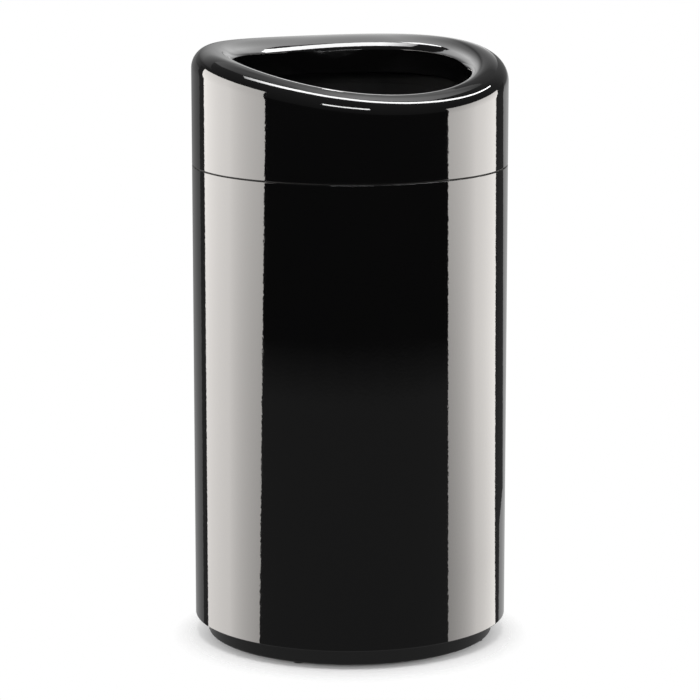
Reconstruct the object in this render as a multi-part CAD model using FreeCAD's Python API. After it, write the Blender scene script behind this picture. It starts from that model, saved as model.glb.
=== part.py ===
import FreeCAD, Part
import math
import os

# Open-top waste can: a painted steel body on a set-back plinth, a lift-out liner with a bag ring,
# and a lift-off lid whose rounded rim follows an arch and slopes down to the front.
# Millimetres, +Z up, origin on the floor under the can's axis, low side of the rim towards -Y.

V = FreeCAD.Vector
AXIS = V(0, 0, 1)
FULL_TURN = 360.0

# Whole can
can_diameter = 457.0
overall_height = 864.0
joint_height = 696.0        # floor to the lower edge of the lid
plinth_reveal = 27.0        # floor to the lower edge of the shell
plinth_setback = 19.0       # shell's outer face to the plinth's outer face
weld_gap = 0.1              # between curved faces that are welded, bonded or pushed together

# Body shell and the hoop inside its top edge
shell_sheet = 1.0
shell_edge_rounding = 1.2
shell_top_flange = 5.0      # width of the turned-in top edge, from the outer face
shell_foot_flange = 10.0    # width of the turned-in bottom edge, from the outer face
top_hoop_height = 14.0
seam_strip_width = 30.0
seam_strip_sheet = 1.0
seam_strip_end_gap = 12.0

# Floor pan
pan_sheet = 1.5
pan_wall_height = 25.0
pan_rounding = 3.0
pan_step_height = 4.0       # raised middle that centres the liner

# Plinth, its fixings and the floor glides
plinth_sheet = 1.5
plinth_rounding = 3.0
plinth_top_flange = 40.0
plinth_foot_flange = 22.0
plinth_stud_count = 6
plinth_stud_radius = 2.5
plinth_stud_inset = 31.0    # plinth's outer face to the stud circle
plinth_stud_end = 2.0       # stud showing below its nut
washer_radius = 6.0
washer_thickness = 1.0
nut_across_flats = 8.0
nut_height = 4.0
fixing_clearance = 0.1
glide_count = 4
glide_radius = 9.0
glide_stand = 1.5           # height of the glide's pad below the plinth
glide_stem_radius = 4.0
glide_head_radius = 5.5
glide_head_height = 3.0

# Lid
lid_wall = 2.5
lid_edge_chamfer = 0.6
rim_round = 29.0            # outer rounding of the rim, from the wall to its crest
rim_roll = 30.0             # inner rounding of the rim, from its crest to the mouth's edge
roll_turn = 72.0            # degrees that the inner rounding turns through before that edge
mouth_depth = 55.0          # crest of the rim to the end of the lip below the mouth's edge
arch_radius = 1053.0        # arch that the rim follows from front to back
arch_setback = 117.0        # highest point of the arch, behind the can's axis
rim_stations = 24

# Lid's gasket, locating hoop and screws
gasket_height = 1.6
gasket_margin = 0.3         # from the ends of the shell's flat top edge
hoop_sheet = 1.2
hoop_clearance = 0.6        # hoop's outer face to the mouth of the body
hoop_rise = 26.0            # above the lid's lower edge
hoop_drop = 28.0            # below the lid's lower edge
hoop_screw_count = 6
hoop_screw_rise = 15.0
hoop_screw_radius = 1.6
hoop_screw_bite = 1.0       # screw's length in the lid's wall
screw_head_radius = 3.5
screw_head_height = 2.2
boss_radius = 5.0

# Bag ring and liner
liner_side_clearance = 11.0  # bag ring's outer face to the mouth of the body
lid_headroom = 8.6           # bag ring's top to the lid's low front
ring_sheet = 2.0
ring_fit = 0.4
ring_rounding = 1.5
ring_leg = 14.0
liner_wall = 3.0
liner_lip_width = 9.0
liner_lip_depth = 12.0
liner_lip_rounding = 2.9
liner_taper = 22.0           # loss of radius from the rim to the foot
liner_foot_width = 12.0
liner_foot_rounding = 2.0
liner_floor_rounding = 8.0
liner_step_clearance = 1.5   # around and above the pan's raised middle

# Radii and heights that several pieces share
can_radius = can_diameter / 2
shell_bore = can_radius - shell_sheet
shell_top = joint_height - gasket_height
mouth_radius = can_radius - shell_top_flange
pan_underside = plinth_reveal + shell_sheet
pan_floor = pan_underside + pan_sheet
plinth_radius = can_radius - plinth_setback
plinth_stud_circle = plinth_radius - plinth_stud_inset
plinth_flange_underside = pan_underside - plinth_sheet
nut_top = plinth_flange_underside - washer_thickness
glide_circle = plinth_radius - plinth_foot_flange / 2
glide_seat = glide_stand + plinth_sheet
hoop_radius = mouth_radius - hoop_clearance
hoop_bore = hoop_radius - hoop_sheet
lid_bore = can_radius - lid_wall
hoop_screw_height = joint_height + hoop_screw_rise
rim_radius = can_radius - rim_round
ring_radius = mouth_radius - liner_side_clearance
liner_lip_radius = ring_radius - ring_sheet - ring_fit
liner_bore_top = liner_lip_radius - liner_lip_width
liner_foot_radius = liner_bore_top + liner_wall - liner_taper
step_radius = liner_foot_radius - liner_foot_width - liner_step_clearance


def polar(radius, angle, height):
    turn = math.radians(angle)
    return V(radius * math.cos(turn), radius * math.sin(turn), height)


def outward(angle):
    return polar(1, angle, 0)


def angles(count):
    """Evenly spaced directions, symmetric about the YZ plane."""
    return [FULL_TURN * (i + 0.5) / count for i in range(count)]


def outline(corners):
    """Closed wire in the XZ plane through (radius, height[, rounding]) corners."""
    points = [V(c[0], 0, c[1]) for c in corners]
    edges = []
    starts, ends = [], []
    for i, corner in enumerate(corners):
        here = points[i]
        rounding = corner[2] if len(corner) > 2 else 0
        back = (points[i - 1] - here).normalize()
        ahead = (points[(i + 1) % len(points)] - here).normalize()
        half = back.getAngle(ahead) / 2
        reach = rounding / math.tan(half)
        starts.append(here + back * reach)
        ends.append(here + ahead * reach)
        if rounding:
            inward = (back + ahead).normalize()
            middle = here + inward * (rounding / math.sin(half) - rounding)
            edges.append(Part.Arc(starts[i], middle, ends[i]).toShape())
    for i in range(len(points)):
        follower = (i + 1) % len(points)
        edges.append(Part.LineSegment(ends[i], starts[follower]).toShape())
    return Part.Wire(Part.__sortEdges__(edges))


def turned(corners, turn=FULL_TURN):
    """Solid of revolution about the can's axis."""
    return Part.Face(outline(corners)).revolve(V(), AXIS, turn)


def upright(radius, place, height):
    return Part.makeCylinder(radius, height, place, AXIS)


def radial_pin(radius, angle, height, inner, outer):
    return Part.makeCylinder(radius, outer - inner, polar(inner, angle, height), outward(angle))


def hexagon(across_flats, place, height):
    corner_radius = across_flats / math.sqrt(3)
    corners = [place + polar(corner_radius, FULL_TURN * i / 6, 0) for i in range(7)]
    return Part.Face(Part.makePolygon(corners)).extrude(AXIS * height)


def write(node, *solids):
    shape = solids[0] if len(solids) == 1 else Part.makeCompound(solids)
    shape.exportStep(f"parts/{node}.step")


# Body

def body_shell():
    foot_bore = can_radius - shell_foot_flange
    inner_rounding = shell_edge_rounding - shell_sheet
    return turned([
        (foot_bore, plinth_reveal),
        (can_radius, plinth_reveal, shell_edge_rounding),
        (can_radius, shell_top, shell_edge_rounding),
        (mouth_radius, shell_top),
        (mouth_radius, shell_top - shell_sheet),
        (shell_bore, shell_top - shell_sheet, inner_rounding),
        (shell_bore, pan_underside, inner_rounding),
        (foot_bore, pan_underside),
    ])


def top_hoop():
    """Flat bar rolled to a ring, welded under the shell's turned-in top edge."""
    top = shell_top - shell_sheet
    outer = shell_bore - weld_gap
    return turned([
        (mouth_radius, top - top_hoop_height),
        (outer, top - top_hoop_height),
        (outer, top - weld_gap, shell_edge_rounding),
        (mouth_radius, top - weld_gap),
    ])


def seam_strip():
    """Backing strip behind the shell's upright joint, at the back of the can."""
    outer = shell_bore - weld_gap
    inner = outer - seam_strip_sheet
    low = pan_underside + pan_wall_height + seam_strip_end_gap
    high = shell_top - shell_sheet - top_hoop_height - seam_strip_end_gap
    width = math.degrees(seam_strip_width / outer)
    strip = turned([(inner, low), (outer, low), (outer, high), (inner, high)], width)
    strip.rotate(V(), AXIS, 90 - width / 2)
    return strip


def base_pan():
    outer = shell_bore - weld_gap
    inner = outer - pan_sheet
    step_bore = step_radius - pan_step_height
    return turned([
        (0, pan_underside + pan_step_height),
        (step_bore, pan_underside + pan_step_height, pan_rounding),
        (step_radius, pan_underside, pan_rounding - pan_sheet),
        (outer, pan_underside, pan_rounding),
        (outer, pan_underside + pan_wall_height),
        (inner, pan_underside + pan_wall_height),
        (inner, pan_floor, pan_rounding - pan_sheet),
        (step_radius, pan_floor, pan_rounding - pan_sheet),
        (step_bore, pan_floor + pan_step_height, pan_rounding),
        (0, pan_floor + pan_step_height),
    ])


def plinth_ring():
    """Ring of C section: top flange against the pan, foot flange on the glides."""
    inner = plinth_radius - plinth_sheet
    inner_rounding = plinth_rounding - plinth_sheet
    ring = turned([
        (plinth_radius - plinth_foot_flange, glide_stand),
        (plinth_radius, glide_stand, plinth_rounding),
        (plinth_radius, pan_underside, plinth_rounding),
        (plinth_radius - plinth_top_flange, pan_underside),
        (plinth_radius - plinth_top_flange, plinth_flange_underside),
        (inner, plinth_flange_underside, inner_rounding),
        (inner, glide_seat, inner_rounding),
        (plinth_radius - plinth_foot_flange, glide_seat),
    ])
    hole = plinth_stud_radius + fixing_clearance
    holes = [upright(hole, polar(plinth_stud_circle, a, plinth_flange_underside), plinth_sheet)
             for a in angles(plinth_stud_count)]
    hole = glide_stem_radius + fixing_clearance
    holes += [upright(hole, polar(glide_circle, a, glide_stand), plinth_sheet) for a in angles(glide_count)]
    return ring.cut(holes)


def plinth_stud(angle):
    low = nut_top - nut_height - plinth_stud_end
    return upright(plinth_stud_radius, polar(plinth_stud_circle, angle, low), pan_underside - low)


def plinth_washer(angle):
    place = polar(plinth_stud_circle, angle, nut_top)
    hole = upright(plinth_stud_radius + fixing_clearance, place, washer_thickness)
    return upright(washer_radius, place, washer_thickness).cut(hole)


def plinth_nut(angle):
    place = polar(plinth_stud_circle, angle, nut_top - nut_height)
    hole = upright(plinth_stud_radius + fixing_clearance, place, nut_height)
    return hexagon(nut_across_flats, place, nut_height).cut(hole)


def floor_glide(angle):
    """Push-in rubber foot: a pad, a stem through the plinth's foot flange and a head above it."""
    pad = upright(glide_radius, polar(glide_circle, angle, 0), glide_stand)
    stem = upright(glide_stem_radius, polar(glide_circle, angle, 0), glide_seat)
    head = upright(glide_head_radius, polar(glide_circle, angle, glide_seat), glide_head_height)
    return pad.fuse([stem, head]).removeSplitter()


# Lid

def rim_centre_height(y):
    """Height of the centre of the rim's outer rounding, on the arch."""
    top = overall_height - rim_round
    return top - arch_radius + math.sqrt(arch_radius ** 2 - (y - arch_setback) ** 2)


def rim_section(angle):
    """Section of the lid in one direction: wall, outer rounding, inner roll and mouth lip."""
    out = outward(angle)
    base = rim_centre_height(rim_radius * out.y)
    wall_length = overall_height - joint_height
    wall_turn = FULL_TURN / 4
    round_back = rim_round - lid_wall
    roll_back = rim_roll - lid_wall
    roll_height = rim_round - rim_roll
    lip_face = -rim_roll * math.sin(math.radians(roll_turn))
    lip_back = lip_face + lid_wall
    lip_end = rim_round - mouth_depth + lid_wall / 2
    back_turn = math.degrees(math.asin(-lip_back / roll_back))

    def place(point):
        outside, up = point
        return out * (rim_radius + outside) + AXIS * (base + up)

    def line(first, last):
        return Part.LineSegment(place(first), place(last)).toShape()

    def arc(first, middle, last):
        return Part.Arc(place(first), place(middle), place(last)).toShape()

    def on_round(radius, up, turn):
        """Point on a rounding about a centre under the crest, turned outwards from its top."""
        slant = math.radians(turn)
        return radius * math.sin(slant), up + radius * math.cos(slant)

    def rounding(radius, up, turn):
        return arc(*[on_round(radius, up, turn * share) for share in (1, 0.5, 0)])

    return Part.Wire(Part.__sortEdges__([
        line((rim_round, -wall_length), (rim_round, 0)),
        rounding(rim_round, 0, wall_turn),
        rounding(rim_roll, roll_height, -roll_turn),
        line(on_round(rim_roll, roll_height, -roll_turn), (lip_face, lip_end)),
        arc((lip_face, lip_end), ((lip_face + lip_back) / 2, lip_end - lid_wall / 2), (lip_back, lip_end)),
        line((lip_back, lip_end), on_round(roll_back, roll_height, -back_turn)),
        rounding(roll_back, roll_height, -back_turn),
        rounding(round_back, 0, wall_turn),
        line((round_back, 0), (round_back, -wall_length)),
        line((round_back, -wall_length), (rim_round, -wall_length)),
    ]))


def lid_shell():
    """Loft round the whole rim, cut level along the joint, with screw bosses inside its wall."""
    sections = [rim_section(FULL_TURN * i / rim_stations) for i in range(rim_stations)]
    whole = Part.makeLoft(sections, True, False, True)
    below = turned([
        (0, 0),
        (can_diameter, 0),
        (can_diameter, joint_height + can_radius + lid_edge_chamfer),
        (can_radius - lid_edge_chamfer, joint_height),
        (0, joint_height),
    ])
    lid = whole.cut(below)
    face = hoop_radius + weld_gap / 2
    bosses, pilots = [], []
    for angle in angles(hoop_screw_count):
        bosses.append(radial_pin(boss_radius, angle, hoop_screw_height, face, lid_bore + lid_wall / 2))
        tip = lid_bore + hoop_screw_bite + fixing_clearance
        pilots.append(radial_pin(hoop_screw_radius + fixing_clearance, angle, hoop_screw_height, face, tip))
    return lid.fuse(bosses).cut(pilots)


def lid_gasket():
    inner = mouth_radius + gasket_margin
    outer = can_radius - shell_edge_rounding - gasket_margin
    return turned([(inner, shell_top), (outer, shell_top), (outer, joint_height), (inner, joint_height)])


def lid_hoop():
    low = joint_height - hoop_drop
    high = joint_height + hoop_rise
    hoop = turned([(hoop_bore, low), (hoop_radius, low), (hoop_radius, high), (hoop_bore, high)])
    hole = hoop_screw_radius + fixing_clearance
    return hoop.cut([radial_pin(hole, a, hoop_screw_height, hoop_bore - hoop_sheet, hoop_radius + hoop_sheet)
                     for a in angles(hoop_screw_count)])


def hoop_screw(angle):
    seat = hoop_bore - weld_gap / 2
    shank = radial_pin(hoop_screw_radius, angle, hoop_screw_height, seat, lid_bore + hoop_screw_bite)
    head = radial_pin(screw_head_radius, angle, hoop_screw_height, seat - screw_head_height, seat)
    return shank.fuse(head).removeSplitter()


# Liner and bag ring

ring_top = rim_centre_height(-rim_radius) + rim_round - lid_wall - lid_headroom
liner_rim = ring_top - ring_sheet - ring_fit


def liner_bucket():
    """Tapered bucket with a turned-over rim and a foot that fits round the pan's raised middle."""
    bore_top = liner_bore_top
    lip_bore = liner_lip_radius - liner_wall
    foot_bore = step_radius + liner_step_clearance
    underside = pan_floor + pan_step_height + liner_step_clearance
    return turned([
        (0, underside),
        (foot_bore, underside),
        (foot_bore, pan_floor),
        (liner_foot_radius, pan_floor, liner_foot_rounding),
        (bore_top + liner_wall, liner_rim - liner_wall),
        (lip_bore, liner_rim - liner_wall),
        (lip_bore, liner_rim - liner_lip_depth),
        (liner_lip_radius, liner_rim - liner_lip_depth),
        (liner_lip_radius, liner_rim, liner_lip_rounding),
        (bore_top, liner_rim, liner_lip_rounding),
        (liner_foot_radius - liner_wall, underside + liner_wall, liner_floor_rounding),
        (0, underside + liner_wall),
    ])


def bag_ring():
    """Upside-down channel over the liner's rim, holding the bag's turned-over edge."""
    low = ring_top - ring_leg
    taper = liner_taper * ring_leg / (liner_rim - pan_floor)
    inner_face = liner_bore_top - taper - ring_fit
    return turned([
        (inner_face - ring_sheet, low),
        (inner_face, low),
        (inner_face, ring_top - ring_sheet),
        (ring_radius - ring_sheet, ring_top - ring_sheet),
        (ring_radius - ring_sheet, low),
        (ring_radius, low),
        (ring_radius, ring_top, ring_rounding),
        (inner_face - ring_sheet, ring_top, ring_rounding),
    ])


def main():
    os.makedirs("parts", exist_ok=True)
    write("body_shell", body_shell())
    write("top_hoop", top_hoop())
    write("seam_strip", seam_strip())
    write("base_pan", base_pan())
    write("plinth_ring", plinth_ring())
    write("plinth_studs", *[plinth_stud(a) for a in angles(plinth_stud_count)])
    write("plinth_washers", *[plinth_washer(a) for a in angles(plinth_stud_count)])
    write("plinth_nuts", *[plinth_nut(a) for a in angles(plinth_stud_count)])
    write("floor_glides", *[floor_glide(a) for a in angles(glide_count)])
    write("lid_shell", lid_shell())
    write("lid_gasket", lid_gasket())
    write("lid_hoop", lid_hoop())
    write("hoop_screws", *[hoop_screw(a) for a in angles(hoop_screw_count)])
    write("liner_bucket", liner_bucket())
    write("bag_ring", bag_ring())


main()
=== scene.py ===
import math

import bpy
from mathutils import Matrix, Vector

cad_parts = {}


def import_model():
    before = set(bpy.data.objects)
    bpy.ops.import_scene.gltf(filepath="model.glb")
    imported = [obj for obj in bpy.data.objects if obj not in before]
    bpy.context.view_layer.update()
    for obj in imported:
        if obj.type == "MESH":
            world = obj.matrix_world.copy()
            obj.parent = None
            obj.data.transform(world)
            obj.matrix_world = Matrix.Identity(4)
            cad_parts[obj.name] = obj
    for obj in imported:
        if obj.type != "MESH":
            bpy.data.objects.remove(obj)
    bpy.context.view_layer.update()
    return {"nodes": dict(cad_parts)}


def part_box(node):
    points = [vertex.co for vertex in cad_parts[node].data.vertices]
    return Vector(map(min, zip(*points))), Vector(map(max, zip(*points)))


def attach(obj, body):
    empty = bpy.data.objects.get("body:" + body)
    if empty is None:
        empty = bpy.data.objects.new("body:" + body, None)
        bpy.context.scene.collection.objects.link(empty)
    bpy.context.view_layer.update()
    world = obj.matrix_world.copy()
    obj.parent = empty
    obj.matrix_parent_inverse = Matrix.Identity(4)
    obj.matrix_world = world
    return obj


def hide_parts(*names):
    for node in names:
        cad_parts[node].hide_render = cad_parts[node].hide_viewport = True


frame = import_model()

# Gloss-black open-top trash can in a white studio. Metres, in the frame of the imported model.

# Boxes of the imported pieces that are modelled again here
shell_low, shell_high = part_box("body_shell")
plinth_low, plinth_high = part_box("plinth_ring")
lid_low, lid_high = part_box("lid_shell")
liner_low, liner_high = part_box("liner_bucket")
ring_low, ring_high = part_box("bag_ring")
hoop_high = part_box("lid_hoop")[1]
can_radius = shell_high.x

# Painted shell and plinth
shell_sheet = 0.001
shell_edge_rounding = 0.0012
shell_top_flange = 0.005
shell_foot_flange = 0.010
plinth_sheet = 0.0015
plinth_rounding = 0.003
plinth_top_flange = 0.040
plinth_foot_flange = 0.022

# Lid
lid_wall = 0.0025
lid_edge_rounding = 0.0006
rim_round = 0.029
rim_roll = 0.030
roll_turn = math.radians(72)
mouth_depth = 0.055
mouth_edge_rounding = 0.002
arch_radius = 1.053
arch_setback = 0.117
boss_count = 6
boss_radius = 0.005
boss_rise = 0.015
boss_segments = 32

# Liner and bag ring
liner_wall = 0.003
liner_lip_width = 0.009
liner_lip_depth = 0.012
liner_lip_rounding = 0.0029
liner_taper = 0.022
liner_foot_width = 0.012
liner_foot_rounding = 0.002
liner_floor_rounding = 0.008
liner_recess = 0.0055
ring_sheet = 0.002
ring_rounding = 0.0015
ring_inner_width = 0.0142

# Fineness of the meshes
burr = 0.0002
segments = 360
arc_step = math.radians(3.75)


def across(direction):
    """Direction a quarter turn clockwise, which points out of an anticlockwise section."""
    return Vector((direction.y, -direction.x))


def rotated(direction, angle):
    """Direction turned anticlockwise by an angle."""
    cos, sin = math.cos(angle), math.sin(angle)
    return Vector((direction.x * cos - direction.y * sin, direction.x * sin + direction.y * cos))


def section(corners):
    """Points and outward normals round an anticlockwise section of (radius, height, rounding) corners.
    A corner on the axis ends the section there."""
    places = [Vector(corner[:2]) for corner in corners]
    points = []
    for i, here in enumerate(places):
        into = (here - places[i - 1]).normalized()
        out_of = (places[(i + 1) % len(places)] - here).normalized()
        if here.x == 0:
            points.append((here, across(out_of) if i == 0 else across(into)))
            continue
        rounding = corners[i][2]
        turn = math.atan2(into.x * out_of.y - into.y * out_of.x, into.dot(out_of))
        side = math.copysign(rounding, turn)
        centre = here - into * abs(side) * math.tan(abs(turn) / 2) - across(into) * side
        steps = max(2, round(abs(turn) / arc_step))
        for k in range(steps + 1):
            normal = rotated(across(into), turn * k / steps)
            point = centre + normal * side
            if not points or (point - points[-1][0]).length > burr / 100:
                points.append((point, normal))
    return points


def level(turn, height):
    """No lift and no slope in any direction."""
    return 0, 0


def swept(points, rise=level, count=segments):
    """Vertices, normals and faces of a section swept once round the axis.
    rise gives the lift of a point in one direction, and how fast the lift changes with the turn."""
    verts, normals, rings = [], [], []
    for place, normal in points:
        ring = []
        for k in range(1 if place.x == 0 else count):
            turn = 2 * math.pi * k / count
            cos, sin = math.cos(turn), math.sin(turn)
            lift, slope = rise(turn, place.y)
            aside = -slope * normal.y / place.x if place.x else 0
            ring.append(len(verts))
            verts.append((place.x * cos, place.x * sin, place.y + lift))
            normals.append((normal.x * cos - aside * sin, normal.x * sin + aside * cos, normal.y))
        rings.append(ring)
    faces = []
    ends_on_axis = len(rings[0]) == 1
    pairs = list(zip(rings, rings[1:])) + ([] if ends_on_axis else [(rings[-1], rings[0])])
    for low, high in pairs:
        for k in range(count):
            after = (k + 1) % count
            if len(low) == 1:
                faces.append((low[0], high[after], high[k]))
            elif len(high) == 1:
                faces.append((low[k], low[after], high[0]))
            else:
                faces.append((low[k], low[after], high[after], high[k]))
    return verts, normals, faces


def moved(part, out, height, turn):
    """A swept part whose own axis is laid along a radius of the can."""
    cos, sin = math.cos(turn), math.sin(turn)

    def laid(v, offset):
        return (offset + v[2]) * cos - v[0] * sin, (offset + v[2]) * sin + v[0] * cos, v[1]

    verts = [laid(v, out) for v in part[0]]
    verts = [(v[0], v[1], v[2] + height) for v in verts]
    normals = [laid(n, 0) for n in part[1]]
    return verts, normals, part[2]


def piece(name, body, slot, surface, *parts):
    """A smooth mesh with its exact normals that replaces the node of the same name."""
    verts, normals, faces = [], [], []
    for part in parts:
        first = len(verts)
        verts += part[0]
        normals += [Vector(n).normalized() for n in part[1]]
        faces += [tuple(first + v for v in face) for face in part[2]]
    mesh = bpy.data.meshes.new(name)
    mesh.from_pydata(verts, [], faces)
    mesh.shade_smooth()
    mesh.normals_split_custom_set_from_vertices(normals)
    mesh.materials.append(surface)
    obj = bpy.data.objects.new(name + "_finished", mesh)
    bpy.context.scene.collection.objects.link(obj)
    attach(obj, body)
    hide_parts(name)
    return obj


# Materials

class Finish:
    """A principled material with short calls for the nodes that the finishes share."""

    def __init__(self, name, **values):
        self.material = bpy.data.materials.new(name)
        self.material.use_nodes = True
        self.tree = self.material.node_tree
        self.shader = self.tree.nodes["Principled BSDF"]
        self.place = self.tree.nodes.new("ShaderNodeTexCoord").outputs["Object"]
        for socket, value in values.items():
            self.shader.inputs[socket.replace("_", " ")].default_value = value

    def node(self, kind, **inputs):
        made = self.tree.nodes.new("ShaderNode" + kind)
        for socket, value in inputs.items():
            self.feed(made.inputs[socket.replace("_", " ")], value)
        return made

    def feed(self, socket, value):
        if isinstance(value, bpy.types.NodeSocket):
            self.tree.links.new(value, socket)
        else:
            socket.default_value = value

    def noise(self, scale, detail, place=None):
        made = self.node("TexNoise", Vector=place or self.place, Scale=scale, Detail=detail)
        return made.outputs["Fac"]

    def stretched(self, *factors):
        made = self.node("Mapping", Vector=self.place, Scale=factors)
        return made.outputs["Vector"]

    def spread(self, value, low, high, from_low=0.3, from_high=0.7):
        made = self.node("MapRange", Value=value)
        for socket, number in zip(("From Min", "From Max", "To Min", "To Max"),
                                  (from_low, from_high, low, high)):
            made.inputs[socket].default_value = number
        return made.outputs["Result"]

    def tint(self, value, dark, light):
        made = self.node("ValToRGB", Fac=value)
        for stop, colour in zip(made.color_ramp.elements, (dark, light)):
            stop.color = (*colour, 1)
        return made.outputs["Color"]

    def bump(self, height, depth, under=None):
        made = self.node("Bump", Height=height, Distance=depth, Strength=1.0)
        if under:
            self.feed(made.inputs["Normal"], under)
        return made.outputs["Normal"]

    def set(self, **links):
        for socket, value in links.items():
            self.feed(self.shader.inputs[socket.replace("_", " ")], value)
        return self.material


def gloss_black(name):
    """Baked gloss enamel: clear coat over black, with orange peel and faint polishing haze."""
    finish = Finish(name, IOR=1.5, Coat_Weight=1.0, Coat_Roughness=0.02, Coat_IOR=1.5)
    peel = finish.bump(finish.noise(scale=230, detail=1.5), depth=0.00003)
    haze = finish.noise(scale=9, detail=4)
    return finish.set(
        Base_Color=finish.tint(haze, dark=(0.0020, 0.0020, 0.0022), light=(0.0032, 0.0031, 0.0032)),
        Roughness=finish.spread(haze, low=0.025, high=0.06),
        Normal=peel,
        Coat_Normal=peel,
    )


def galvanised(name):
    """Hot-dip galvanised sheet with its crystal spangle."""
    finish = Finish(name, Metallic=1.0)
    spangle = finish.node("TexVoronoi", Vector=finish.place, Scale=90.0).outputs["Color"]
    shade = finish.node("SeparateColor", Color=spangle).outputs[0]
    grain = finish.noise(scale=900, detail=3)
    return finish.set(
        Base_Color=finish.tint(shade, dark=(0.36, 0.37, 0.38), light=(0.56, 0.57, 0.58)),
        Roughness=finish.spread(shade, low=0.32, high=0.5, from_low=0.0, from_high=1.0),
        Normal=finish.bump(grain, depth=0.00002),
    )


def zinc(name):
    """Bright zinc plate with a slight blue and yellow cast."""
    finish = Finish(name, Metallic=1.0)
    cast = finish.noise(scale=260, detail=3)
    return finish.set(
        Base_Color=finish.tint(cast, dark=(0.58, 0.60, 0.63), light=(0.70, 0.69, 0.64)),
        Roughness=finish.spread(cast, low=0.22, high=0.36),
        Normal=finish.bump(finish.noise(scale=1500, detail=2), depth=0.00001),
    )


def rubber(name):
    """Matt black rubber with a fine skin and a little bloom."""
    finish = Finish(name, Specular_IOR_Level=0.35)
    bloom = finish.noise(scale=120, detail=4)
    return finish.set(
        Base_Color=finish.tint(bloom, dark=(0.012, 0.012, 0.012), light=(0.030, 0.029, 0.028)),
        Roughness=finish.spread(bloom, low=0.62, high=0.82),
        Normal=finish.bump(finish.noise(scale=1400, detail=2), depth=0.00003),
    )


def moulded_plastic(name):
    """Matt black polyethylene with a sparked mould grain and scuffs that run up the wall."""
    finish = Finish(name, Specular_IOR_Level=0.4)
    scuffs = finish.noise(scale=60, detail=5, place=finish.stretched(1, 1, 0.08))
    grain = finish.bump(finish.noise(scale=1100, detail=3), depth=0.00004)
    return finish.set(
        Base_Color=finish.tint(scuffs, dark=(0.012, 0.012, 0.013), light=(0.026, 0.026, 0.027)),
        Roughness=finish.spread(scuffs, low=0.42, high=0.6),
        Normal=finish.bump(scuffs, depth=0.00005, under=grain),
    )


enamel = gloss_black("black_enamel")
lid_paint = gloss_black("lid_gloss")
bare_steel = galvanised("bare_steel")
zinc_plate = zinc("zinc_fixings")
black_rubber = rubber("black_rubber")
liner_plastic = moulded_plastic("liner_plastic")

cad_finishes = {
    "top_hoop": bare_steel,
    "seam_strip": bare_steel,
    "base_pan": bare_steel,
    "lid_hoop": bare_steel,
    "plinth_studs": zinc_plate,
    "plinth_washers": zinc_plate,
    "plinth_nuts": zinc_plate,
    "hoop_screws": zinc_plate,
    "floor_glides": black_rubber,
    "lid_gasket": black_rubber,
}


# Painted pieces

def body_shell():
    """Rolled sheet with both edges turned in."""
    top, foot = shell_high.z, shell_low.z
    foot_bore = can_radius - shell_foot_flange
    mouth = can_radius - shell_top_flange
    bore = can_radius - shell_sheet
    outline = section([
        (foot_bore, foot, burr),
        (can_radius, foot, shell_edge_rounding),
        (can_radius, top, shell_edge_rounding),
        (mouth, top, burr),
        (mouth, top - shell_sheet, burr),
        (bore, top - shell_sheet, burr),
        (bore, foot + shell_sheet, burr),
        (foot_bore, foot + shell_sheet, burr),
    ])
    return piece("body_shell", "body", "black_enamel", enamel, swept(outline))


def plinth_ring():
    """Set-back kick ring of C section."""
    outer = plinth_high.x
    top, foot = plinth_high.z, plinth_low.z
    inner = outer - plinth_sheet
    inner_rounding = plinth_rounding - plinth_sheet
    outline = section([
        (outer - plinth_foot_flange, foot, burr),
        (outer, foot, plinth_rounding),
        (outer, top, plinth_rounding),
        (outer - plinth_top_flange, top, burr),
        (outer - plinth_top_flange, top - plinth_sheet, burr),
        (inner, top - plinth_sheet, inner_rounding),
        (inner, foot + plinth_sheet, inner_rounding),
        (outer - plinth_foot_flange, foot + plinth_sheet, burr),
    ])
    return piece("plinth_ring", "body", "black_enamel", enamel, swept(outline))


def lid_shell():
    """Lid whose rim rises on an arch towards the back and rolls over into the mouth."""
    joint = lid_low.z
    crest = lid_high.z
    rim_path = can_radius - rim_round
    mouth = rim_path - rim_roll * math.sin(roll_turn)
    mouth_edge = crest - rim_roll * (1 - math.cos(roll_turn))
    roll_corner = rim_path - rim_roll * math.tan(roll_turn / 2)
    edge_run = mouth_edge_rounding * math.tan((math.pi / 2 - roll_turn) / 2)
    back_roll = rim_roll - lid_wall
    back_turn = math.asin((rim_path - mouth - lid_wall) / back_roll)
    back_edge = crest - rim_roll + back_roll * math.cos(back_turn)
    back_corner = rim_path - back_roll * math.tan(back_turn / 2)
    lip_end = crest - mouth_depth
    bore = can_radius - lid_wall
    tip_rounding = lid_wall / 2 - burr / 10
    outline = section([
        (bore, joint, burr),
        (can_radius, joint, lid_edge_rounding),
        (can_radius, crest, rim_round),
        (roll_corner, crest, rim_roll - edge_run / math.tan(roll_turn / 2)),
        (mouth, mouth_edge, mouth_edge_rounding),
        (mouth, lip_end, tip_rounding),
        (mouth + lid_wall, lip_end, tip_rounding),
        (mouth + lid_wall, back_edge, burr),
        (back_corner, crest - lid_wall, back_roll - burr),
        (bore, crest - lid_wall, rim_round - lid_wall),
    ])
    wall_middle = (joint + lip_end) / 2

    def arch(turn, height):
        if height < wall_middle:
            return 0, 0
        away = rim_path * math.sin(turn) - arch_setback
        drop = math.sqrt(arch_radius ** 2 - away ** 2)
        return drop - arch_radius, -away / drop * rim_path * math.cos(turn)

    boss_face = hoop_high.x + burr / 2
    boss_length = bore + lid_wall / 2 - boss_face
    boss = swept(section([
        (0, 0, 0),
        (boss_radius, 0, burr),
        (boss_radius, boss_length, burr),
        (0, boss_length, 0),
    ]), count=boss_segments)
    bosses = [moved(boss, boss_face, joint + boss_rise, 2 * math.pi * (i + 0.5) / boss_count)
              for i in range(boss_count)]
    return piece("lid_shell", "lid", "lid_gloss", lid_paint, swept(outline, arch), *bosses)


# Liner and bag ring

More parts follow.
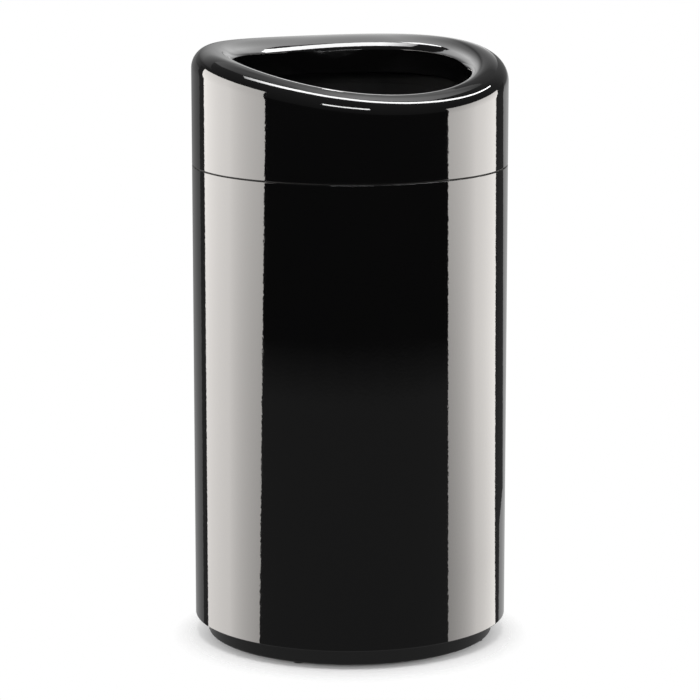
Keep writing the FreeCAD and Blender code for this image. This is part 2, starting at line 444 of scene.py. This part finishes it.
def liner_bucket():
    """Tapered bucket with a turned-over rim and a foot ring."""
    rim, foot = liner_high.z, liner_low.z
    lip = liner_high.x
    lip_bore = lip - liner_wall
    bore_top = lip - liner_lip_width
    foot_radius = bore_top + liner_wall - liner_taper
    underside = foot + liner_recess
    outline = section([
        (0, underside, 0),
        (foot_radius - liner_foot_width, underside, burr),
        (foot_radius - liner_foot_width, foot, burr),
        (foot_radius, foot, liner_foot_rounding),
        (bore_top + liner_wall, rim - liner_wall, burr),
        (lip_bore, rim - liner_wall, burr),
        (lip_bore, rim - liner_lip_depth, burr),
        (lip, rim - liner_lip_depth, burr),
        (lip, rim, liner_lip_rounding),
        (bore_top, rim, liner_lip_rounding),
        (foot_radius - liner_wall, underside + liner_wall, liner_floor_rounding),
        (0, underside + liner_wall, 0),
    ])
    return piece("liner_bucket", "liner", "liner_plastic", liner_plastic, swept(outline))


def bag_ring():
    """Upside-down channel over the liner's rim."""
    outer = ring_high.x
    inner = outer - ring_inner_width
    top, foot = ring_high.z, ring_low.z
    outline = section([
        (inner, foot, burr),
        (inner + ring_sheet, foot, burr),
        (inner + ring_sheet, top - ring_sheet, burr),
        (outer - ring_sheet, top - ring_sheet, burr),
        (outer - ring_sheet, foot, burr),
        (outer, foot, burr),
        (outer, top, ring_rounding),
        (inner, top, ring_rounding),
    ])
    return piece("bag_ring", "bag_ring", "liner_plastic", liner_plastic, swept(outline))


# Camera, fitted to the photo's outlines
camera_place = Vector((-1.920, -4.374, 1.345))
camera_pitch = 0.1915       # radians below level
camera_lens = 171.0         # millimetres
camera_sensor = 36.0        # millimetres
heading = math.atan2(camera_place.y, camera_place.x)

# Floor and plain light
floor_radius = 0.262
floor_fade = 0.17           # radius at which the floor begins to fade
floor_shift = 0.03          # towards the camera
floor_grey = 0.9
fill_grey = 0.35
lamp_height = 2.5
lamp_shift = 0.25           # towards the camera
lamp_width = 1.2
lamp_power = 55             # watts

# Cards that the gloss mirrors, and the surfaces that they lie on
warm_white = (1.0, 0.965, 0.93)
pure_white = (1.0, 1.0, 1.0)
light_glow = 12
gap_glow = 0.05
# Glow of the dim ring round the foot, which is painted shade of the floor that the gloss mirrors
floor_shade_ring_glow = 0.17
card_steps = 8
wall_distance = 1.6
dome_distance = 3.0
light_distance = 1.0
rim_height = 0.85
ceiling_height = 1.9
canopy_height = 0.93
canopy_radius = 0.168
back_light_height = 1.0
# Dim ring just above the floor round the foot: painted shade of the floor, mirrored by the plinth and the
# shell's foot in place of the lit floor
floor_shade_ring_shift = 0.045     # towards the camera
floor_shade_ring_lift = 0.001
floor_shade_ring_bore = 0.15
floor_shade_ring_radius = 0.262
sleeve_radius = 0.30
sleeve_low = 1.34
sleeve_high = 2.05

# Distances at which two of the cards are clear, and at which they show in full
overhead_clear = 0.40
overhead_full = 0.45
sleeve_clear = 0.30
sleeve_full = 0.25

# Overhead strip light, whose edges are arcs in plan, carried up along lines from the rim's front
strip_centre_right = 0.1
strip_centre_near = -0.5
strip_near_radius = 0.80
strip_far_radius = 0.70
strip_near_rise = 0.58
strip_near_fall = 0.0032    # per degree to the right
strip_far_rise = 1.06
strip_plan_rise = 0.46      # rise at which the arcs have their own size
rim_front_radius = 0.215
rim_front_share = 0.83      # of the strip's own angle
rim_front_height = 0.84


# Studio

def camera():
    """Camera at the photo's angle."""
    lens = bpy.data.cameras.new("camera")
    lens.lens = camera_lens
    lens.sensor_width = camera_sensor
    obj = bpy.data.objects.new("camera", lens)
    bpy.context.scene.collection.objects.link(obj)
    obj.location = camera_place
    obj.rotation_euler = (math.pi / 2 - camera_pitch, 0, heading + math.pi / 2)
    bpy.context.scene.camera = obj


def world():
    """White behind the object and in its reflections, dim as fill light."""
    made = bpy.data.worlds.new("studio")
    made.use_nodes = True
    tree = made.node_tree
    tree.nodes.clear()
    path = tree.nodes.new("ShaderNodeLightPath")
    seen = tree.nodes.new("ShaderNodeMath")
    seen.operation = "ADD"
    also_seen = tree.nodes.new("ShaderNodeMath")
    also_seen.operation = "ADD"
    also_seen.use_clamp = True
    tree.links.new(path.outputs["Is Camera Ray"], seen.inputs[0])
    tree.links.new(path.outputs["Is Glossy Ray"], seen.inputs[1])
    tree.links.new(seen.outputs[0], also_seen.inputs[0])
    tree.links.new(path.outputs["Is Transmission Ray"], also_seen.inputs[1])
    fill = tree.nodes.new("ShaderNodeBackground")
    fill.inputs["Color"].default_value = (fill_grey, fill_grey, fill_grey, 1)
    white = tree.nodes.new("ShaderNodeBackground")
    white.inputs["Color"].default_value = (*pure_white, 1)
    mix = tree.nodes.new("ShaderNodeMixShader")
    tree.links.new(also_seen.outputs[0], mix.inputs[0])
    tree.links.new(fill.outputs[0], mix.inputs[1])
    tree.links.new(white.outputs[0], mix.inputs[2])
    output = tree.nodes.new("ShaderNodeOutputWorld")
    tree.links.new(mix.outputs[0], output.inputs["Surface"])
    bpy.context.scene.world = made


def floor():
    """Small round pale floor that keeps the contact shadow and fades out into the white."""
    verts = [(floor_radius * math.cos(2 * math.pi * k / segments),
              floor_radius * math.sin(2 * math.pi * k / segments), 0) for k in range(segments)]
    mesh = bpy.data.meshes.new("floor")
    mesh.from_pydata(verts, [], [tuple(range(segments))])
    grey = (floor_grey, floor_grey, floor_grey, 1)
    paint = Finish("floor", Base_Color=grey, Roughness=0.9, Specular_IOR_Level=0.0)
    radius = paint.node("VectorMath", Vector=paint.place)
    radius.operation = "LENGTH"
    fade = paint.spread(radius.outputs["Value"], 0, 1, floor_fade, floor_radius)
    clear = paint.node("BsdfTransparent")
    mix = paint.node("MixShader", Fac=fade)
    paint.tree.links.new(paint.shader.outputs[0], mix.inputs[1])
    paint.tree.links.new(clear.outputs[0], mix.inputs[2])
    paint.tree.links.new(mix.outputs[0], paint.tree.nodes["Material Output"].inputs["Surface"])
    mesh.materials.append(paint.material)
    obj = bpy.data.objects.new("floor", mesh)
    bpy.context.scene.collection.objects.link(obj)
    obj.location = toward(0, floor_shift)


def glow(name, colour, distance=None):
    """Emission as bright as the card's own glow values. With a pair of distances from the card to what
    mirrors it, the card is clear at the first and shows in full at the second."""
    made = Finish(name)
    bright = made.tree.nodes.new("ShaderNodeAttribute")
    bright.attribute_name = "glow"
    light = made.node("Emission", Color=(*colour, 1), Strength=bright.outputs["Fac"])
    if distance:
        path = made.tree.nodes.new("ShaderNodeLightPath")
        shown = made.spread(path.outputs["Ray Length"], 0, 1, *distance)
        clear = made.node("BsdfTransparent")
        mix = made.node("MixShader", Fac=shown)
        made.tree.links.new(clear.outputs[0], mix.inputs[1])
        made.tree.links.new(light.outputs[0], mix.inputs[2])
        light = mix
    made.tree.links.new(light.outputs[0], made.tree.nodes["Material Output"].inputs["Surface"])
    return made.material


def toward(angle, reach):
    """Level offset from the can's axis, at an angle from the camera."""
    turn = heading + math.radians(angle)
    return Vector((reach * math.cos(turn), reach * math.sin(turn), 0))


def on_wall(angle, height):
    """Place on an upright wall round the can."""
    return toward(angle, wall_distance) + Vector((0, 0, height))


def on_floor(angle, reach):
    """Place just above the floor, round the can and a little towards the camera, on the dim ring that is
    painted shade of the floor for the gloss to mirror.
    """
    return toward(0, floor_shade_ring_shift) + toward(angle, reach) + Vector((0, 0, floor_shade_ring_lift))


def on_dome(angle, climb, distance=dome_distance):
    """Place on a dome over the can, at a climb above its rim."""
    slant = math.radians(climb)
    return toward(angle, distance * math.cos(slant)) + Vector((0, 0, rim_height + distance * math.sin(slant)))


def on_light_dome(angle, climb):
    """Place on a smaller dome, which carries the front light."""
    return on_dome(angle, climb, light_distance)


def on_ceiling(right, near):
    """Place on a ceiling over the can, to the right of its axis and nearer to the camera."""
    return toward(0, near) + toward(90, right) + Vector((0, 0, ceiling_height))


def on_canopy(right, behind, height=canopy_height):
    """Place on a level canopy just above the rim, to the right of the axis and behind the mouth."""
    mouth_near = -math.sqrt(max(0, canopy_radius ** 2 - right ** 2))
    return toward(0, mouth_near - behind) + toward(90, right) + Vector((0, 0, height))


def over_back(right, behind):
    """Place above the canopy's near edge, which carries the back light."""
    return on_canopy(right, behind, back_light_height)


def on_sleeve(angle, height):
    """Place on a sleeve round the raised lid."""
    return toward(angle, sleeve_radius) + Vector((0, 0, height))


def strip_edge(angle, radius, rise):
    """Place on one edge of the strip light: right of the axis, nearer to the camera, above the rim."""
    bend = math.radians(angle)
    foot_bend = bend * rim_front_share
    foot = Vector((rim_front_radius * math.sin(foot_bend), rim_front_radius * math.cos(foot_bend)))
    right = strip_centre_right + radius * math.sin(bend)
    near = strip_centre_near + radius * math.cos(bend)
    edge = foot + (Vector((right, near)) - foot) * rise / strip_plan_rise
    return Vector((edge.x, edge.y, rise))


def on_strip(angle, share):
    """Place on the overhead strip light, which arches over the rim's front from left to right.
    Its near edge is low and its far edge is high, so that the front of the rim sees it almost edge on."""
    near_edge = strip_edge(angle, strip_near_radius, strip_near_rise - strip_near_fall * max(angle, 0))
    far_edge = strip_edge(angle, strip_far_radius, strip_far_rise)
    spot = near_edge.lerp(far_edge, share)
    return toward(0, spot.y) + toward(90, spot.x) + Vector((0, 0, rim_front_height + spot.z))


def blend(first, last):
    """Values from the first up to, but not with, the last."""
    return [[a + (b - a) * k / card_steps for a, b in zip(first, last)] for k in range(card_steps)]


def card(name, place, surface, rows):
    """Curved card from rows of (across, up, glow) points, seen only in reflections."""
    wide = [[p for pair in zip(row, row[1:]) for p in blend(*pair)] + [row[-1]] for row in rows]
    fine = []
    for low, high in zip(wide, wide[1:]):
        fine += zip(*[blend(a, b) for a, b in zip(low, high)])
    fine.append(wide[-1])
    count = len(wide[0])
    points = [point for row in fine for point in row]
    faces = [(r * count + k, r * count + k + 1, (r + 1) * count + k + 1, (r + 1) * count + k)
             for r in range(len(fine) - 1) for k in range(count - 1)]
    mesh = bpy.data.meshes.new(name)
    mesh.from_pydata([place(*point[:2]) for point in points], [], faces)
    values = mesh.attributes.new("glow", "FLOAT", "POINT")
    values.data.foreach_set("value", [point[2] for point in points])
    mesh.materials.append(surface)
    obj = bpy.data.objects.new(name, mesh)
    bpy.context.scene.collection.objects.link(obj)
    obj.visible_camera = False
    obj.visible_shadow = False
    obj.visible_diffuse = False


def lamp():
    """Soft lamp overhead, aimed at the can's foot and hidden from the gloss."""
    data = bpy.data.lights.new("overhead", "AREA")
    data.shape = "RECTANGLE"
    data.size = lamp_width
    data.size_y = lamp_width
    data.energy = lamp_power
    obj = bpy.data.objects.new("overhead", data)
    bpy.context.scene.collection.objects.link(obj)
    obj.location = toward(0, lamp_shift) + Vector((0, 0, lamp_height))
    obj.rotation_euler = (-obj.location).to_track_quat("-Z", "Y").to_euler()
    obj.visible_camera = False
    obj.visible_glossy = False


def studio():
    """Camera, white surroundings, floor and lamp, and the cards that the gloss mirrors."""
    camera()
    world()
    floor()
    warm = glow("warm_card", warm_white)
    plain = glow("plain_card", pure_white)
    overhead = glow("overhead_card", pure_white, (overhead_clear, overhead_full))
    near_by = glow("sleeve_card", warm_white, (sleeve_clear, sleeve_full))
    card("left_light", on_wall, warm, [
        [(-124, -0.55, 2.2), (-95, -0.55, 4.0), (-67, -0.55, 3.0)],
        [(-124, 0.18, 2.8), (-93, 0.18, 4.8), (-62, 0.18, 3.8)],
        [(-124, 0.59, 3.3), (-91, 0.59, 5.4), (-59.2, 0.59, 4.6)],
        [(-124, 1.28, 3.3), (-91, 1.48, 5.2), (-57, 1.70, 4.6)],
    ])
    card("right_light", on_wall, warm, [
        [(73, -0.55, 2.2), (102, -0.55, 3.4), (133.2, -0.55, 2.4)],
        [(72.2, -0.25, 2.4), (101, -0.25, 3.5), (129.2, -0.25, 2.4)],
        [(71, 0.18, 3.2), (98, 0.18, 4.4), (126.4, 0.18, 2.9)],
        [(70, 0.59, 4.4), (97, 0.59, 4.8), (124.2, 0.59, 3.1)],
        [(68.5, 1.23, 3.6), (96, 1.15, 4.0), (123.2, 1.06, 2.8)],
    ])
    card("left_gap", on_wall, plain, [
        [(-133, -0.55, gap_glow), (-124, -0.55, gap_glow)],
        [(-133, 1.28, gap_glow), (-124, 1.28, gap_glow)],
    ])
    card("right_gap", on_wall, plain, [
        [(133.2, -0.55, gap_glow), (140, -0.55, gap_glow)],
        [(128.4, -0.2, gap_glow), (139, -0.2, gap_glow)],
        [(128.0, -0.14, gap_glow), (149, -0.14, gap_glow)],
        [(126.4, 0.18, gap_glow), (144.6, 0.18, gap_glow)],
        [(124.2, 0.59, gap_glow), (140, 0.59, gap_glow)],
        [(123.2, 1.06, gap_glow), (136, 1.06, gap_glow)],
    ])
    card("left_back", on_wall, plain, [
        [(-180, -0.55, 0.4), (-133, -0.55, 0.2)],
        [(-180, 1.05, 0.2), (-133, 1.05, 0.13)],
    ])
    card("right_back", on_wall, plain, [
        [(140, -0.55, 0.4), (180, -0.55, 0.5)],
        [(139, -0.20, 0.4), (180, -0.20, 0.5)],
        [(149, -0.14, 0.4), (180, -0.14, 0.5)],
        [(138, 0.78, 0.4), (180, 0.78, 0.4)],
        [(137, 0.88, 0.1), (180, 0.88, 0.2)],
        [(136, 1.05, 0.1), (180, 1.05, 0.2)],
    ])
    card("front_flag", on_wall, plain, [
        [(-72, -1.5, 0.1), (75, -1.5, 0.1)],
        [(-62.8, 0.1, 0.1), (71.1, 0.1, 0.1)],
        [(-61.9, 0.21, 0.02), (70.9, 0.21, 0.02)],
        [(-56.3, 1.0, 0.02), (68.9, 1.0, 0.02)],
    ])
    # Dim ring round the foot: painted shade of the floor, mirrored by the plinth
    card("floor_shade_ring", on_floor, plain, [
        [(angle, reach, floor_shade_ring_glow) for angle in range(-180, 181, 45)]
        for reach in (floor_shade_ring_bore, floor_shade_ring_radius)
    ])
    card("front_light", on_light_dome, plain, [
        [(-13.8, 22.6, light_glow), (16.3, 22.6, light_glow)],
        [(-13.8, 27.6, light_glow), (16.3, 27.6, light_glow)],
    ])
    card("overhead_light", on_strip, overhead, [
        [(-45, 0, 3), (-25, 0, light_glow), (88, 0, light_glow)],
        [(-45, 1, 3), (-25, 1, light_glow), (88, 1, light_glow)],
    ])
    card("canopy", on_canopy, plain, [
        [(-0.34, 1.0, 0.2), (-0.15, 1.0, 0.4), (-0.05, 1.0, 0.6), (0.015, 1.0, 0.6),
         (0.05, 1.0, 0.6), (0.12, 1.0, 1.0), (0.155, 1.0, 1.4), (0.28, 1.0, 1.4)],
        [(-0.34, 0.34, 0.1), (-0.15, 0.34, 0.5), (-0.05, 0.34, 0.7), (0.015, 0.34, 0.7),
         (0.05, 0.34, 0.7), (0.12, 0.34, 0.6), (0.155, 0.34, 0.5), (0.28, 0.34, 0.5)],
        [(-0.34, 0.11, 0.1), (-0.15, 0.11, 0.7), (-0.05, 0.11, 1.3), (0.015, 0.11, 1.3),
         (0.05, 0.11, 1.3), (0.12, 0.11, 0.6), (0.155, 0.11, 0.1), (0.28, 0.11, 0.1)],
        [(-0.34, 0.0, 0.1), (-0.15, 0.0, 0.3), (-0.05, -0.014, 2.5), (0.015, -0.014, 2.5),
         (0.05, 0.0, 2.5), (0.12, 0.0, 0.4), (0.155, 0.0, 0.1), (0.28, 0.0, 0.1)],
    ])
    card("back_light", over_back, plain, [
        [(-0.015, -0.015, light_glow), (0.015, -0.015, light_glow)],
        [(-0.015, 0.025, light_glow), (0.015, 0.025, light_glow)],
    ])
    card("ceiling", on_ceiling, plain, [
        [(-0.9, -2.2, 0.3), (-0.3, -2.2, 0.5), (0.2, -2.2, 0.2), (0.9, -2.2, 0.1)],
        [(-0.9, -0.8, 0.4), (-0.3, -0.8, 0.2), (0.2, -0.8, 0.5), (0.9, -0.8, 0.2)],
        [(-0.6, 0.05, 0.1), (-0.2, 0.10, 0.6), (0.2, 0.10, 2.0), (0.7, 0.0, 1.2)],
    ])
    round_lid = [(-180, 0.3), (-125, 0.05), (-124, 3.0), (-95, 4.8), (-60, 4.0), (-59, 0.03),
                 (69, 0.03), (70, 4.0), (97, 4.6), (124, 3.0), (125, 0.05), (180, 0.3)]
    card("sleeve", on_sleeve, near_by, [
        [(angle, height, bright) for angle, bright in round_lid] for height in (sleeve_low, sleeve_high)
    ])
    card("dome", on_dome, plain, [
        [(-180, -89.9, 0.1), (-130, -89.9, 0.1), (130, -89.9, 0.1), (180, -89.9, 0.1)],
        [(-180, -40, 0.5), (-130, -40, 0.05), (130, -40, 0.05), (180, -40, 0.5)],
        [(-180, 0, 0.2), (-130, 0, 0.05), (130, 0, 0.05), (180, 0, 0.2)],
        [(-180, 89.9, 0.1), (-130, 89.9, 0.1), (130, 89.9, 0.1), (180, 89.9, 0.1)],
    ])
    lamp()


def main():
    """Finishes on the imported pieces, the pieces modelled again here, and the studio."""
    for node, surface in cad_finishes.items():
        materials = frame["nodes"][node].data.materials
        materials.clear()
        materials.append(surface)
    body_shell()
    plinth_ring()
    lid_shell()
    liner_bucket()
    bag_ring()
    studio()
    bpy.context.scene.view_settings.view_transform = "Standard"


main()
